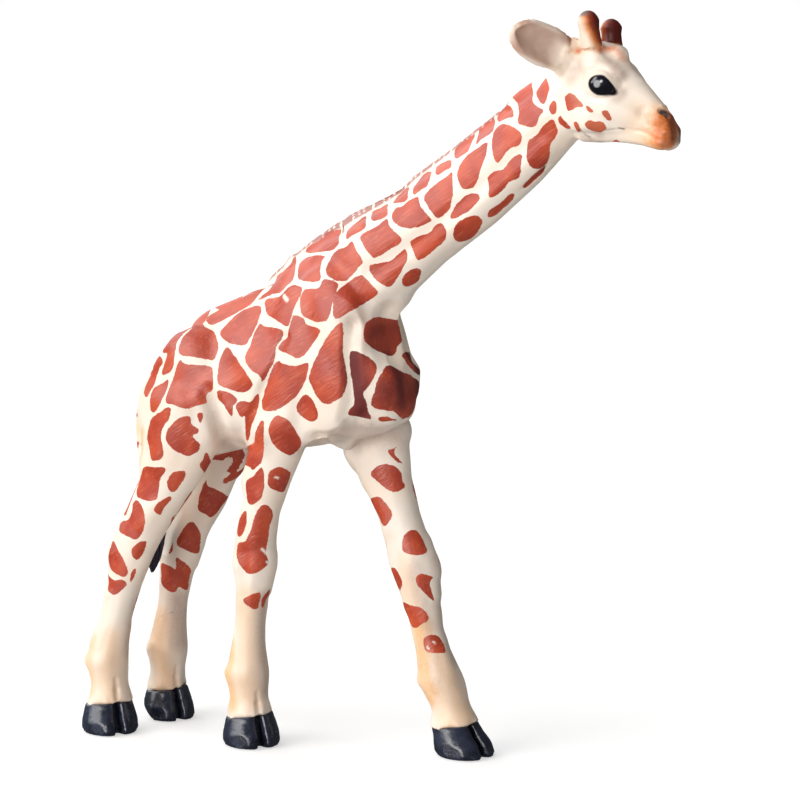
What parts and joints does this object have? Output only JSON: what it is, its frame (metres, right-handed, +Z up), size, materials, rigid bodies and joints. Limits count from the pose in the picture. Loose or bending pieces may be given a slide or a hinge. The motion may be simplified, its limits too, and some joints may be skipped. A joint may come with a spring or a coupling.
{
  "type": "toy wild animal figure",
  "caption": "Solid plastic toy giraffe in mid-step, with a reticulated coat, raised mane, ossicones, cupped ears, hanging tail and cloven hooves.",
  "frame": {"origin": "middle of the box in plan, on the surface that the hooves stand on", "axes": "+X the way the animal walks, +Y its left side, +Z up from the soles to the ossicones"},
  "size_m": [0.1534, 0.039, 0.1791],
  "materials": {
    "skin": "satin",
    "hoof": "gloss",
    "eye": "gloss",
    "horn": "satin",
    "tuft": "satin"
  },
  "bodies": {
    "root": {"torso": "skin", "neck": "skin", "head": "skin", "ear_right": "skin", "ossicone_right": "horn", "eye_right": "eye", "ear_left": "skin", "ossicone_left": "horn", "eye_left": "eye", "tail": "skin", "tail_tuft": "tuft", "fore_right_upper_leg": "skin", "fore_right_lower_leg": "skin", "fore_right_hoof": "hoof", "fore_left_upper_leg": "skin", "fore_left_lower_leg": "skin", "fore_left_hoof": "hoof", "hind_right_upper_leg": "skin", "hind_right_lower_leg": "skin", "hind_right_hoof": "hoof", "hind_left_upper_leg": "skin", "hind_left_lower_leg": "skin", "hind_left_hoof": "hoof"}
  },
  "joints": []
}
